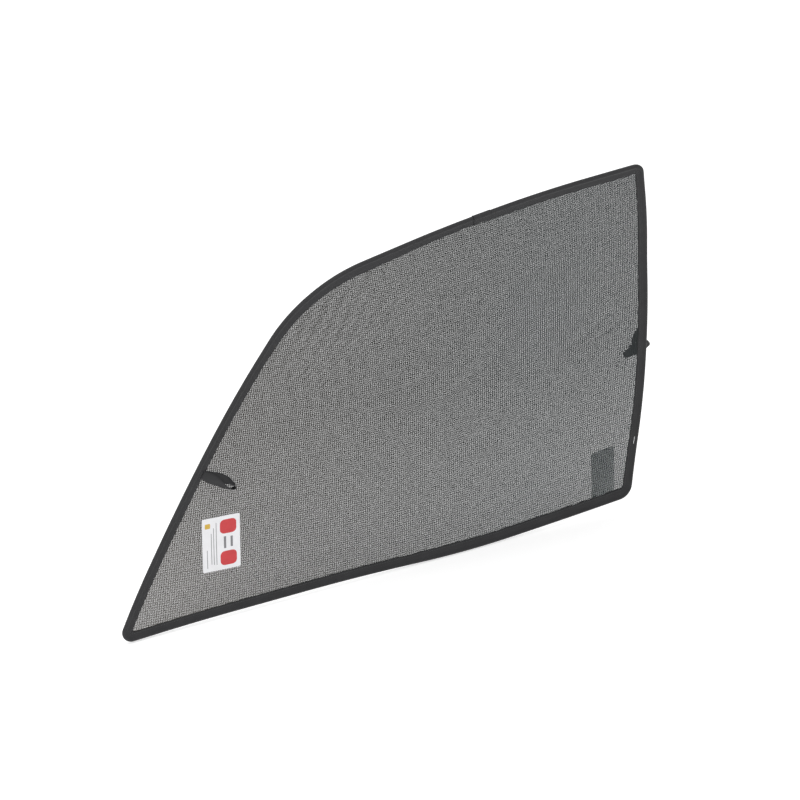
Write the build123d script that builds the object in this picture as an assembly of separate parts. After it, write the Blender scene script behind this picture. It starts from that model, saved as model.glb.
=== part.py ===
from build123d import *
import math
import os

# Sun shade for a car's front side window. A spring-steel wire loop is bent to the outline of
# the window and bowed like its glass, fine mesh fills the loop, and a folded tape binds the edge.
# Millimetres. +X runs along the sill towards the rear edge, +Z is up, and the cabin side faces -Y.
# The origin is on the bottom edge, half way along it, where the shade stands in the window frame.

os.makedirs("parts", exist_ok=True)

# ---- bow of the whole shade: a cylinder about a level axis on the cabin side
BOW_RADIUS = 1400.0
BOW_HEIGHT = 246.0      # height at which the shade stands furthest out
BOW_DEPTH = BOW_RADIUS - math.sqrt(BOW_RADIUS**2 - BOW_HEIGHT**2)
AXIS_Y = BOW_DEPTH - BOW_RADIUS
HALF_SPAN = 400.0       # half the width of the blanks that the layers are cut from
BLANK_DEPTH = 60.0

# ---- outer edge: x and z of each corner and its radius; None is as round as its runs allow
OUTLINE = [
    (-385, 0, 13), (-354, 57, None), (-208, 306, None), (-140, 412, None), (-77, 458, None),
    (68, 492, 1550), (198, 514, None), (337, 525, 16), (357, 440, None), (376, 285, None),
    (376, 159, None), (354, 14, 21), (258, 7, None), (108, -2, None), (-53, 5, None),
    (-277, 4, None),
]
RUN_SHARE = 0.48        # share of a run that a free arc may take
JOIN_CORNER = 5         # the wire's two ends meet just after this corner, on the top edge

# ---- wire, ferrule and cloth
WIRE_RADIUS = 2.0
WIRE_INSET = 2.9        # from the outer edge to the middle of the wire
WIRE_GAP = 2.0          # between the wire's two ends, inside the ferrule
FERRULE_RADIUS = 2.6
FERRULE_BORE = 2.1
FERRULE_LENGTH = 22.0
MESH_HALF = 0.25
MESH_INSET = 6.2
BEAD_RADIUS = 2.85      # outside of the tape where it is folded round the wire
SNUG = 0.05             # gap between layers that lie on each other
TAPE_HALF = 1.25        # half the thickness of the flat part, mesh included
TAPE_WIDTH = 14.5
TAPE_ROOT = 5.9         # where the two flat sides leave the bead
THREAD_INSET = 12.0
THREAD_WIDTH = 0.6
THREAD_HEIGHT = 0.3
LAP_LENGTH = 20.0       # the tape's closing end is wrapped over its start
LAP_THICKNESS = 0.55

# ---- pull loop, sewn under the tape's inner edge on the front run
LOOP_ROOT = (-250.6, 206.1)
LOOP_ANGLE = -29.0
LOOP_LENGTH = 46.0
LOOP_WIDTH = 13.0
LOOP_TIP_WIDTH = 10.0
LOOP_THICKNESS = 2.5
LOOP_CLEARANCE = 1.9    # from the mesh's mid-plane to the ribbon
EYE_LENGTH = 6.0
EYE_WIDTH = 2.4
TACK_LENGTH = 11.0
TACK_WIDTH = 1.6
TACK_SETBACK = 4.6      # from the tape's inner edge to the middle of the tack

# ---- printed label on the cabin side of the mesh
LABEL_CENTRE = (-234.3, 104.5)
LABEL_SIZE = (50.8, 76.0)
LABEL_LEAN = -3.4
LABEL_THICKNESS = 0.3

# ---- turning latch on the outer side of the rear edge
LATCH_PIVOT = (366.0, 231.6)
LATCH_ANGLE = 15.0
LATCH_BASE = [
    (-4.0, 31.7), (-8.1, 25.8), (-11.2, 16.6), (-10.8, -7.0), (3.6, -8.0), (3.6, 31.7),
]
LATCH_BASE_THICKNESS = 1.75
LATCH_HOLE = (-5.2, 10.4)
LATCH_HOLE_RADIUS = 1.1
LATCH_STOP = [(-12.2, 6.2), (-6.0, 6.2), (-6.0, 8.4), (-9.8, 10.4)]
LATCH_STOP_HEIGHT = 3.0
LEVER = [
    (-13.2, 5.7), (-22.3, 2.4), (-20.9, -5.3), (-7.6, -7.0), (11.5, -6.2), (17.6, -4.0),
    (18.5, -1.0), (16.3, 4.5), (14.0, 5.8),
]
LEVER_GAP = 0.35
LEVER_THICKNESS = 3.0
RIVET_RADIUS = 1.5
RIVET_HEAD_RADIUS = 3.2
RIVET_HEAD_HEIGHT = 1.2
RIVET_FOOT_RADIUS = 2.6
RIVET_FOOT_HEIGHT = 0.6
RUNNING_GAP = 0.05

# ---- tongue behind the lower rear corner
TONGUE_HINGE = (314.8, 22.6)
TONGUE_LEAN = 4.2       # the sill edge rises this much where the tongue is sewn on
TONGUE = [(-19.0, 0.0), (15.6, 0.0), (22.5, 70.2), (-12.3, 67.4)]
TONGUE_THICKNESS = 1.2
TONGUE_CLEARANCE = 0.3
TONGUE_CORNER = 2.5
TONGUE_HOLE = (4.7, 60.8)
TONGUE_HOLE_RADIUS = 1.25
FOOT_ACROSS = (-19.0, 15.2)
FOOT_SPAN = (-5.4, -1.7)    # the sewn foot, below the hinge line
FOOT_ROW = -3.5

# ---- staple through the tape on the rear run
STAPLE_CENTRE = (360.0, 96.8)
STAPLE_ANGLE = 79.0
STAPLE_CROWN = 11.0
STAPLE_WIRE = 0.7
STAPLE_FOLD = 3.6       # how far each leg is folded in


def rounded_corners(inset):
    """Five points along the arc at each corner of the outline, moved inwards by inset."""
    points = [Vector(x, z) for x, z, _ in OUTLINE]
    arcs = []
    for index, corner in enumerate(points):
        radius = OUTLINE[index][2]
        before = points[index - 1] - corner
        after = points[(index + 1) % len(points)] - corner
        half_angle = math.radians(before.get_angle(after)) / 2
        if radius is None:
            radius = RUN_SHARE * min(before.length, after.length) * math.tan(half_angle)
        trim = radius / math.tan(half_angle)
        bisector = (before.normalized() + after.normalized()).normalized()
        centre = corner + bisector * (radius / math.sin(half_angle))
        hollow = before.X * after.Y - before.Y * after.X < 0
        reach = radius + inset if hollow else radius - inset
        first = (corner + before.normalized() * trim - centre).normalized()
        last = (corner + after.normalized() * trim - centre).normalized()
        middle = -bisector
        rays = [first, (first + middle).normalized(), middle, (middle + last).normalized(), last]
        arcs.append([centre + ray * reach for ray in rays])
    return arcs


def outline_face(inset=0.0):
    """The shade's outline as a flat face in the XZ plane, moved inwards by inset."""
    edges = []
    arcs = rounded_corners(0.0)
    for arc, following in zip(arcs, arcs[1:] + arcs[:1]):
        edges.append(ThreePointArc(arc[0], arc[2], arc[-1]))
        edges.append(Line(arc[-1], following[0]))
    face = make_face(edges)
    if inset:
        face = offset(face, -inset)
    return Plane.XZ * face


def bow_layer(low, high):
    """A wide curved sheet that fills the bow between two distances from its mid-surface."""
    half_angle = math.asin((BOW_HEIGHT + 60.0) / BOW_RADIUS)

    def arc(radius):
        return ThreePointArc(*[
            (0.0, AXIS_Y + radius * math.cos(a), BOW_HEIGHT + radius * math.sin(a))
            for a in (-half_angle, 0.0, half_angle)
        ])

    inner, outer = arc(BOW_RADIUS + low), arc(BOW_RADIUS + high)
    section = make_face([inner, outer, Line(inner @ 0, outer @ 0), Line(inner @ 1, outer @ 1)])
    return extrude(section, amount=HALF_SPAN, dir=(1, 0, 0), both=True)


def edge_band(outer_inset, inner_inset, low, high):
    """A band that follows the edge between two insets and two distances from the mid-surface."""
    ring = outline_face(outer_inset) - outline_face(inner_inset)
    return extrude(ring, amount=BLANK_DEPTH, dir=(0, 1, 0), both=True) & bow_layer(low, high)


def on_bow(x, z):
    """The point of the shade's mid-surface at x and z."""
    return Vector(x, AXIS_Y + math.sqrt(BOW_RADIUS**2 - (z - BOW_HEIGHT)**2), z)


def cabin_plane(x, z, angle=0.0):
    """Plane on the mid-surface, up along the shade, turned by angle, that faces the cabin."""
    tilt = math.asin((z - BOW_HEIGHT) / BOW_RADIUS)
    facing = Vector(0, -math.cos(tilt), -math.sin(tilt))
    up = Vector(0, -math.sin(tilt), math.cos(tilt))
    turn = math.radians(angle)
    along = Vector(1, 0, 0) * math.cos(turn) + up * math.sin(turn)
    return Plane(origin=on_bow(x, z), x_dir=along, z_dir=facing)


def block(plane, sketch, low, high):
    """A sketch on a plane, extruded between two heights above it."""
    return plane * Pos(0, 0, low) * extrude(sketch, amount=high - low)


def wire_path():
    """The middle of the wire: tangent arcs from one end, round the shade, to the other."""
    arcs = rounded_corners(WIRE_INSET)
    join = arcs[JOIN_CORNER][-1]
    along = (arcs[JOIN_CORNER + 1][0] - join).normalized()
    order = [(JOIN_CORNER + step) % len(arcs) for step in range(1, len(arcs) + 1)]
    stations = [join + along * (WIRE_GAP / 2)]
    for index in order:
        stations.extend(arcs[index])
    stations[-1] = join - along * (WIRE_GAP / 2)
    points = [on_bow(p.X, p.Y) for p in stations]
    slope = (BOW_HEIGHT - join.Y) / BOW_RADIUS
    tangent = Vector(along.X, along.Y * slope, along.Y)
    edges = []
    for start, end in zip(points, points[1:]):
        edge = TangentArc(start, end, tangent=tangent)
        tangent = edge % 1
        edges.append(edge)
    return Wire(edges)


def join_plane():
    """Plane across the wire where its ends meet: its x runs inwards, its y towards the cabin."""
    arcs = rounded_corners(WIRE_INSET)
    join = arcs[JOIN_CORNER][-1]
    run = arcs[JOIN_CORNER + 1][0] - join
    face = cabin_plane(join.X, join.Y, math.degrees(math.atan2(run.Y, run.X)))
    return Plane(origin=face.origin, x_dir=-face.y_dir, z_dir=face.x_dir)


def along_wire(sketch):
    """A section carried along the wire from end to end."""
    path = wire_path()
    return sweep(Plane(origin=path @ 0, z_dir=path % 0) * sketch, path=path)


def make_frame_wire():
    return along_wire(Circle(WIRE_RADIUS))


def join_prism(sketch, length):
    """A sketch across the wire's join, drawn out to a length with the join in its middle."""
    return join_plane() * extrude(sketch, amount=length / 2, both=True)


def make_wire_ferrule():
    return join_prism(Circle(FERRULE_RADIUS) - Circle(FERRULE_BORE), FERRULE_LENGTH)


def make_mesh_panel():
    sheet = extrude(outline_face(MESH_INSET), BLANK_DEPTH, (0, 1, 0), both=True)
    return sheet & bow_layer(-MESH_HALF, MESH_HALF)


def make_binding_bead():
    """The fold of the binding tape, drawn tight round the wire."""
    ferrule_room = join_prism(Circle(FERRULE_RADIUS + SNUG), FERRULE_LENGTH + 2 * SNUG)
    return along_wire(Circle(BEAD_RADIUS) - Circle(WIRE_RADIUS + SNUG)) - ferrule_room


def make_binding_sides(holes):
    """The tape's two flat sides, with the mesh between them."""
    cabin_side = edge_band(TAPE_ROOT, TAPE_WIDTH, -TAPE_HALF, -MESH_HALF)
    outer_side = edge_band(TAPE_ROOT, TAPE_WIDTH, MESH_HALF, TAPE_HALF)
    return Compound(children=[side - holes for side in (cabin_side, outer_side)])


def make_binding_lap():
    """The tape's closing end, one more layer round the bead and both flat sides."""
    width = TAPE_WIDTH - WIRE_INSET
    inner_half = TAPE_HALF + THREAD_HEIGHT + SNUG
    inside = Circle(BEAD_RADIUS + SNUG) + Pos(width / 2, 0) * Rectangle(width, 2 * inner_half)
    outer_half = inner_half + LAP_THICKNESS
    outside = Circle(BEAD_RADIUS + SNUG + LAP_THICKNESS)
    outside += Pos(width / 2, 0) * Rectangle(width, 2 * outer_half)
    return join_prism(outside - inside, LAP_LENGTH)


def make_seam_thread(side):
    """The line of stitching near the tape's inner edge; side is -1 in the cabin, 1 outside."""
    near, far = sorted((side * TAPE_HALF, side * (TAPE_HALF + THREAD_HEIGHT)))
    return edge_band(THREAD_INSET, THREAD_INSET + THREAD_WIDTH, near, far)


def loop_plane():
    """Plane at the middle of the loop's root: its x runs out along the loop."""
    return cabin_plane(*LOOP_ROOT, LOOP_ANGLE)


def make_pull_loop():
    """Ribbon doubled over into a flat loop, with a small eye left open at the fold."""
    root, tip = LOOP_WIDTH / 2, LOOP_TIP_WIDTH / 2
    start = 0.5
    straight = LOOP_LENGTH - tip
    edge = Polyline((straight, tip), (start, root), (start, -root), (straight, -tip))
    fold = ThreePointArc((straight, -tip), (LOOP_LENGTH, 0), (straight, tip))
    eye = Pos(straight - 0.5, 0) * SlotOverall(EYE_LENGTH, EYE_WIDTH)
    ribbon = make_face([edge, fold]) - eye
    return block(loop_plane(), ribbon, LOOP_CLEARANCE, LOOP_CLEARANCE + LOOP_THICKNESS)


def make_loop_tack():
    """Bar of close stitches that holds the loop's two ends on the tape."""
    bar = Pos(-TACK_SETBACK, 0) * Rectangle(TACK_WIDTH, TACK_LENGTH)
    return block(loop_plane(), bar, TAPE_HALF + SNUG, TAPE_HALF + 2 * THREAD_HEIGHT)


def make_label():
    plane = cabin_plane(*LABEL_CENTRE, LABEL_LEAN)
    film = extrude(RectangleRounded(*LABEL_SIZE, 2.0), amount=BLANK_DEPTH, both=True)
    low = -MESH_HALF - SNUG - LABEL_THICKNESS
    return plane * film & bow_layer(low, low + LABEL_THICKNESS)


def latch_block(sketch, angle, near, far):
    """A latch piece, between two distances out from the shade's mid-surface at the pivot."""
    return block(cabin_plane(*LATCH_PIVOT, angle), sketch, -far, -near)


def make_latch_base():
    """Wedge-shaped plate bonded to the tape, with the stop that the lever closes against."""
    near = TAPE_HALF + THREAD_HEIGHT + SNUG
    far = near + LATCH_BASE_THICKNESS
    plate = fillet(make_face(Polyline(*LATCH_BASE, close=True)).vertices(), 1.5)
    plate -= Pos(*LATCH_HOLE) * Circle(LATCH_HOLE_RADIUS)
    stop = make_face(Polyline(*LATCH_STOP, close=True))
    body = latch_block(plate - Circle(RIVET_RADIUS), 0.0, near, far)
    body -= latch_block(Circle(RIVET_FOOT_RADIUS), 0.0, near, near + RIVET_FOOT_HEIGHT)
    return body + latch_block(stop, LATCH_ANGLE, far, far + LATCH_STOP_HEIGHT)


def make_latch_lever(near):
    """Lever whose rounded nose reaches past the frame when it lies across it."""
    plate = fillet(make_face(Polyline(*LEVER, close=True)).vertices(), 1.4)
    plate -= Circle(RIVET_RADIUS + RUNNING_GAP)
    return latch_block(plate, LATCH_ANGLE, near, near + LEVER_THICKNESS)


def make_latch_rivet(lever_near):
    """Rivet from a foot sunk in the base, through the lever, to a domed head."""
    foot = TAPE_HALF + THREAD_HEIGHT + SNUG
    head = lever_near + LEVER_THICKNESS + RUNNING_GAP
    shank = latch_block(Circle(RIVET_RADIUS), 0.0, foot, head)
    flange = latch_block(Circle(RIVET_FOOT_RADIUS), 0.0, foot, foot + RIVET_FOOT_HEIGHT)
    dome = latch_block(Circle(RIVET_HEAD_RADIUS), 0.0, head, head + RIVET_HEAD_HEIGHT)
    rim = dome.edges().group_by(Axis.Y)[-1]
    return shank + flange + fillet(rim, RIVET_HEAD_HEIGHT * 0.6)


def tongue_block(sketch, near, far):
    """A piece of the tongue, between two distances out from the shade's mid-surface."""
    return block(cabin_plane(*TONGUE_HINGE, TONGUE_LEAN), sketch, -far, -near)


def make_tongue():
    """Stiff tongue that folds out from the sill edge, with one small hole near its end."""
    outer = make_face(Polyline(*TONGUE, close=True))
    outer = fillet(outer.vertices().sort_by(Axis.Y)[-2:], TONGUE_CORNER)
    outer -= Pos(*TONGUE_HOLE) * Circle(TONGUE_HOLE_RADIUS)
    near = TAPE_HALF + THREAD_HEIGHT + TONGUE_CLEARANCE
    return tongue_block(outer, near, near + TONGUE_THICKNESS)


def make_tongue_foot():
    """The tongue's foot, sewn flat on the outer side of the tape."""
    left, right = FOOT_ACROSS
    low, high = FOOT_SPAN
    strip = Pos((left + right) / 2, (low + high) / 2) * Rectangle(right - left, high - low)
    near = TAPE_HALF + SNUG
    return tongue_block(strip, near, near + TONGUE_THICKNESS)


def make_tongue_stitches():
    """A row of thread across the tongue's foot."""
    left, right = FOOT_ACROSS
    row = Pos((left + right) / 2, FOOT_ROW) * Rectangle(right - left - 4.0, THREAD_WIDTH)
    near = TAPE_HALF + SNUG + TONGUE_THICKNESS
    return tongue_block(row, near, near + THREAD_HEIGHT)


def staple_legs(width, half_length):
    """The staple's two legs, or the holes for them, as square bars through the tape."""
    plane = cabin_plane(*STAPLE_CENTRE, STAPLE_ANGLE)
    reach = (STAPLE_CROWN - STAPLE_WIRE) / 2
    legs = Pos(-reach, 0) * Rectangle(width, width) + Pos(reach, 0) * Rectangle(width, width)
    return block(plane, legs, -half_length, half_length)


def make_staple():
    """Steel staple: a crown on the cabin side and two legs folded over behind the tape."""
    plane = cabin_plane(*STAPLE_CENTRE, STAPLE_ANGLE)
    surface = TAPE_HALF + SNUG
    bar = Rectangle(STAPLE_CROWN, STAPLE_WIRE)
    crown = block(plane, bar, surface, surface + STAPLE_WIRE)
    gap = Rectangle(STAPLE_CROWN - 2 * STAPLE_FOLD, STAPLE_WIRE)
    folds = block(plane, bar - gap, -surface - STAPLE_WIRE, -surface)
    return crown + folds + staple_legs(STAPLE_WIRE, surface + STAPLE_WIRE / 2)


lever_near = BEAD_RADIUS + SNUG + LAP_THICKNESS + LEVER_GAP
staple_holes = staple_legs(STAPLE_WIRE + 2 * SNUG, BLANK_DEPTH / 10)

parts = {
    "frame_wire": make_frame_wire(),
    "wire_ferrule": make_wire_ferrule(),
    "mesh_panel": make_mesh_panel() - staple_holes,
    "binding_bead": make_binding_bead(),
    "binding_sides": make_binding_sides(staple_holes),
    "binding_lap": make_binding_lap(),
    "cabin_seam_thread": make_seam_thread(-1),
    "outer_seam_thread": make_seam_thread(1),
    "pull_loop": make_pull_loop(),
    "pull_loop_tack": make_loop_tack(),
    "printed_label": make_label(),
    "latch_base": make_latch_base(),
    "latch_lever": make_latch_lever(lever_near),
    "latch_rivet": make_latch_rivet(lever_near),
    "sill_tongue": make_tongue(),
    "sill_tongue_foot": make_tongue_foot(),
    "sill_tongue_stitches": make_tongue_stitches(),
    "tape_staple": make_staple(),
}

for name, shape in parts.items():
    export_step(shape, f"parts/{name}.step")
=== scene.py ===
import math
import random

import bmesh
import bpy
import numpy as np
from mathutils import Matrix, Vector


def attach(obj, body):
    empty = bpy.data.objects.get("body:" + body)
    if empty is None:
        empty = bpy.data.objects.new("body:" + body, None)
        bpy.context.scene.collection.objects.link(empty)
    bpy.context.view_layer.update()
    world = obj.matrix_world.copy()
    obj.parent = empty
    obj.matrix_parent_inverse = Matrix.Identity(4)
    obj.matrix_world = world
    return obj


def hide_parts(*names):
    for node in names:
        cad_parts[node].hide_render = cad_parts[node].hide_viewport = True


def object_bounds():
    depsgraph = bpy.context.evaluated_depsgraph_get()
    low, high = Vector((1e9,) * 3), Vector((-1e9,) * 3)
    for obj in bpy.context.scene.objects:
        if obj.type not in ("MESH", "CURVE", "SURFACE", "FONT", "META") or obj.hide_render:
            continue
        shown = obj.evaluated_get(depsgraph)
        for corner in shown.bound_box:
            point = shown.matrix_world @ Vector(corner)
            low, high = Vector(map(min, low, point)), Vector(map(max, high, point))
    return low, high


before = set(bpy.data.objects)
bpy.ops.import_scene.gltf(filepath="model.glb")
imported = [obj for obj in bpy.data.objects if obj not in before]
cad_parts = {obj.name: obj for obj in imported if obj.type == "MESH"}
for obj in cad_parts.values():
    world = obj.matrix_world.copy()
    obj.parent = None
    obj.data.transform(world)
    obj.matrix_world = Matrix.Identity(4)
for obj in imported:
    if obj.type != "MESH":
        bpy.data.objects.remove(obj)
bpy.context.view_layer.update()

random.seed(11)

# Lengths are written in millimetres, and turned into metres where a point is placed.
# The outline, the bow and the layers are those of the CAD model.
MM = 0.001
BOW_RADIUS = 1400.0
BOW_HEIGHT = 246.0
AXIS_Y = -math.sqrt(BOW_RADIUS**2 - BOW_HEIGHT**2)
OUTLINE = [
    (-385, 0, 13), (-354, 57, None), (-208, 306, None), (-140, 412, None), (-77, 458, None),
    (68, 492, 1550), (198, 514, None), (337, 525, 16), (357, 440, None), (376, 285, None),
    (376, 159, None), (354, 14, 21), (258, 7, None), (108, -2, None), (-53, 5, None),
    (-277, 4, None),
]
# Width of the folded tape where it reaches and where it leaves each corner of the outline.
TAPE_WIDTHS = [
    (12.8, 12.8), (13.0, 13.0), (13.0, 13.2), (14.2, 15.2), (15.4, 16.8), (14.4, 12.0),
    (14.6, 14.8), (14.8, 11.4), (12.2, 13.0), (13.6, 13.8), (13.4, 13.4), (14.0, 16.0),
    (15.8, 15.8), (15.6, 15.4), (14.4, 13.2), (13.2, 12.8),
]
RUN_SHARE = 0.48
STEP = 3.0
LEAST_ARC_STEPS = 8
LEAST_RADIUS = 1.2
MIDDLE_INSET = 10.0
INNER_INSET = 20.0
JOIN_CORNER = 5
WIRE_INSET = 2.9
BEAD_RADIUS = 2.85
SEAM_SETBACK = 2.4


# ---- places on the bowed surface

def place(x, z, lift=0.0):
    """A point over the bowed surface, lifted from it towards the cabin, in metres."""
    tilt = math.asin((z - BOW_HEIGHT) / BOW_RADIUS)
    reach = BOW_RADIUS - lift
    height = BOW_HEIGHT + reach * math.sin(tilt)
    return Vector((x, AXIS_Y + reach * math.cos(tilt), height)) * MM


def cabin_plane(x, z, angle=0.0):
    """Origin and the right, up and cabin directions of a plane on the surface."""
    tilt = math.asin((z - BOW_HEIGHT) / BOW_RADIUS)
    facing = Vector((0, -math.cos(tilt), -math.sin(tilt)))
    level_up = Vector((0, -math.sin(tilt), math.cos(tilt)))
    turn = math.radians(angle)
    right = Vector((1, 0, 0)) * math.cos(turn) + level_up * math.sin(turn)
    return place(x, z), right, facing.cross(right), facing


def on_plane(plane, u, v, lift):
    """A point at u and v on a plane from cabin_plane, lifted from it towards the cabin."""
    origin, right, up, facing = plane
    return origin + (right * u + up * v + facing * lift) * MM


def smoothstep(low, high, value):
    t = min(1.0, max(0.0, (value - low) / (high - low)))
    return t * t * (3 - 2 * t)


def rotated(v, angle):
    c, s = math.cos(angle), math.sin(angle)
    return Vector((v.x * c - v.y * s, v.x * s + v.y * c))


def corner_arcs(inset, counts=None):
    """The arc at each corner of the outline, moved inwards by inset."""
    arcs = []
    for index, (x, z, radius) in enumerate(OUTLINE):
        corner = Vector((x, z))
        before = Vector(OUTLINE[index - 1][:2]) - corner
        after = Vector(OUTLINE[(index + 1) % len(OUTLINE)][:2]) - corner
        half = before.angle(after) / 2
        if radius is None:
            radius = RUN_SHARE * min(before.length, after.length) * math.tan(half)
        if counts:
            count = counts[index]
        else:
            count = max(LEAST_ARC_STEPS, round(radius * (math.pi - 2 * half) / STEP))
        before.normalize()
        after.normalize()
        bisector = (before + after).normalized()
        if before.x * after.y - before.y * after.x < 0:
            corner -= bisector * (inset / math.sin(half))
            radius += inset
        else:
            corner += bisector * (inset / math.sin(half))
            radius = max(radius - inset, LEAST_RADIUS)
        centre = corner + bisector * (radius / math.sin(half))
        first = corner + before * (radius / math.tan(half)) - centre
        last = corner + after * (radius / math.tan(half)) - centre
        sweep = math.atan2(first.x * last.y - first.y * last.x, first.dot(last))
        arcs.append([centre + rotated(first, sweep * k / count) for k in range(count + 1)])
    return arcs


OUTER_ARCS = corner_arcs(0.0)
ARC_COUNTS = [len(arc) - 1 for arc in OUTER_ARCS]
RUN_COUNTS = [
    max(1, round((following[0] - arc[-1]).length / STEP))
    for arc, following in zip(OUTER_ARCS, OUTER_ARCS[1:] + OUTER_ARCS[:1])
]


def edge_path(inset):
    """The whole outline moved inwards, with the same stations at every inset."""
    arcs = corner_arcs(inset, ARC_COUNTS)
    points = []
    for arc, following, count in zip(arcs, arcs[1:] + arcs[:1], RUN_COUNTS):
        points.extend(arc)
        points.extend(arc[-1].lerp(following[0], k / count) for k in range(1, count))
    return points


EDGE = edge_path(0.0)
EDGE_MIDDLE = edge_path(MIDDLE_INSET)
EDGE_INNER = edge_path(INNER_INSET)
STATIONS = len(EDGE)


def inward(station, inset):
    """The point of a station that lies inset from the outer edge, as x and z."""
    if inset <= MIDDLE_INSET:
        return EDGE[station].lerp(EDGE_MIDDLE[station], inset / MIDDLE_INSET)
    share = (inset - MIDDLE_INSET) / (INNER_INSET - MIDDLE_INSET)
    return EDGE_MIDDLE[station].lerp(EDGE_INNER[station], share)


def tape_widths():
    """The tape's width at every station."""
    widths = []
    for index, (arc_count, run_count) in enumerate(zip(ARC_COUNTS, RUN_COUNTS)):
        start, end = TAPE_WIDTHS[index]
        following = TAPE_WIDTHS[(index + 1) % len(TAPE_WIDTHS)][0]
        widths.extend(start + (end - start) * k / arc_count for k in range(arc_count + 1))
        widths.extend(end + (following - end) * k / run_count for k in range(1, run_count))
    return widths


def running_length(points):
    """Distance along a line of points, at each of them."""
    lengths = [0.0]
    for a, b in zip(points, points[1:]):
        lengths.append(lengths[-1] + (b - a).length)
    return lengths


WIDTHS = tape_widths()
ALONG = running_length(EDGE + EDGE[:1])
JOIN_STATION = sum(ARC_COUNTS[k] + RUN_COUNTS[k] for k in range(JOIN_CORNER))
JOIN_STATION += ARC_COUNTS[JOIN_CORNER]


# ---- mesh building

class Builder:
    """Collects lofted forms, with the weave's own two coordinates at every face corner."""

    def __init__(self):
        self.points = []
        self.faces = []
        self.marks = []
        self.slots = []

    def loft(self, rings, along, across, joined=False):
        """A closed form through rings of points, joined end to end or closed by two caps."""
        base = len(self.points)
        size = len(rings[0])
        for ring in rings:
            self.points.extend(ring)
        for i in range(len(rings) if joined else len(rings) - 1):
            k = (i + 1) % len(rings)
            for j in range(size):
                m = (j + 1) % size
                self.faces.append((base + i * size + j, base + i * size + m,
                                   base + k * size + m, base + k * size + j))
                self.marks.extend([(along[i], across[j]), (along[i], across[j + 1]),
                                   (along[i + 1], across[j + 1]), (along[i + 1], across[j])])
                self.slots.append(0)
        if not joined:
            last = base + (len(rings) - 1) * size
            for start, mark in ((base, along[0]), (last, along[len(rings) - 1])):
                self.faces.append(tuple(range(start, start + size)))
                self.marks.extend((mark, across[j]) for j in range(size))
                self.slots.append(0)

    def make(self, name, materials, sharp=45.0):
        """The piece made of all that was collected."""
        mesh = bpy.data.meshes.new(name)
        mesh.from_pydata([tuple(p) for p in self.points], [], self.faces)
        weave = mesh.attributes.new("weave", "FLOAT_VECTOR", "CORNER")
        flat = np.zeros((len(self.marks), 3), dtype=np.float32)
        flat[:, :2] = self.marks
        weave.data.foreach_set("vector", flat.ravel())
        mesh.polygons.foreach_set("material_index", self.slots)
        return finish_mesh(mesh, name, materials, sharp)


def finish_mesh(mesh, name, materials, sharp=45.0):
    """Faces the mesh outwards, shades it smooth between sharp edges and gives it materials."""
    form = bmesh.new()
    form.from_mesh(mesh)
    bmesh.ops.recalc_face_normals(form, faces=form.faces)
    for face in form.faces:
        face.smooth = True
    for edge in form.edges:
        if len(edge.link_faces) == 2 and edge.calc_face_angle(0.0) > math.radians(sharp):
            edge.smooth = False
    form.to_mesh(mesh)
    form.free()
    for material in materials:
        mesh.materials.append(material)
    piece = bpy.data.objects.new(name, mesh)
    bpy.context.scene.collection.objects.link(piece)
    return piece


def perimeter_marks(ring):
    """Distance round a ring of points, in millimetres, closed back to its start."""
    return [length / MM for length in running_length(list(ring) + [ring[0]])]


# ---- materials

def node_material(name):
    material = bpy.data.materials.new(name)
    material.use_nodes = True
    tree = material.node_tree
    return material, tree, tree.nodes["Principled BSDF"]


def node(tree, kind, **settings):
    made = tree.nodes.new(kind)
    for key, value in settings.items():
        if key in made.inputs:
            made.inputs[key].default_value = value
        else:
            setattr(made, key, value)
    return made


def noise(tree, vector, scale, detail=3.0, roughness=0.55):
    made = node(tree, "ShaderNodeTexNoise", Scale=scale, Detail=detail, Roughness=roughness)
    tree.links.new(vector, made.inputs["Vector"])
    return made.outputs["Fac"]


def remap(tree, value, low, high, to_low, to_high):
    made = node(tree, "ShaderNodeMapRange")
    limits = {"From Min": low, "From Max": high, "To Min": to_low, "To Max": to_high}
    for key, number in limits.items():
        made.inputs[key].default_value = number
    tree.links.new(value, made.inputs["Value"])
    return made.outputs["Result"]


def math_node(tree, operation, first, second=None):
    made = node(tree, "ShaderNodeMath", operation=operation)
    for socket, value in zip(made.inputs, (first, second)):
        if isinstance(value, (int, float)):
            socket.default_value = value
        elif value is not None:
            tree.links.new(value, socket)
    return made.outputs["Value"]


def mix_colours(tree, factor, first, second):
    made = node(tree, "ShaderNodeMix", data_type="RGBA")
    tree.links.new(factor, made.inputs[0])
    for socket, value in ((made.inputs[6], first), (made.inputs[7], second)):
        if isinstance(value, tuple):
            socket.default_value = (*value, 1.0)
        else:
            tree.links.new(value, socket)
    return made.outputs[2]


def add_bump(tree, shader, height, strength, distance):
    made = node(tree, "ShaderNodeBump", Strength=strength, Distance=distance * MM)
    tree.links.new(height, made.inputs["Height"])
    tree.links.new(made.outputs["Normal"], shader.inputs["Normal"])


def wave(tree, coordinate, period):
    """A smooth rise and fall, from 0 to 1, with the given period."""
    turned = math_node(tree, "MULTIPLY", coordinate, 2 * math.pi / period)
    return remap(tree, math_node(tree, "SINE", turned), -1.0, 1.0, 0.0, 1.0)


def weave_coordinates(tree):
    """Distance along and across the weave, and both as one vector, in millimetres."""
    attribute = node(tree, "ShaderNodeAttribute", attribute_name="weave")
    parts = node(tree, "ShaderNodeSeparateXYZ")
    tree.links.new(attribute.outputs["Vector"], parts.inputs["Vector"])
    return parts.outputs["X"], parts.outputs["Y"], attribute.outputs["Vector"]


def object_coordinates(tree):
    return node(tree, "ShaderNodeTexCoord").outputs["Object"]


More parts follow.
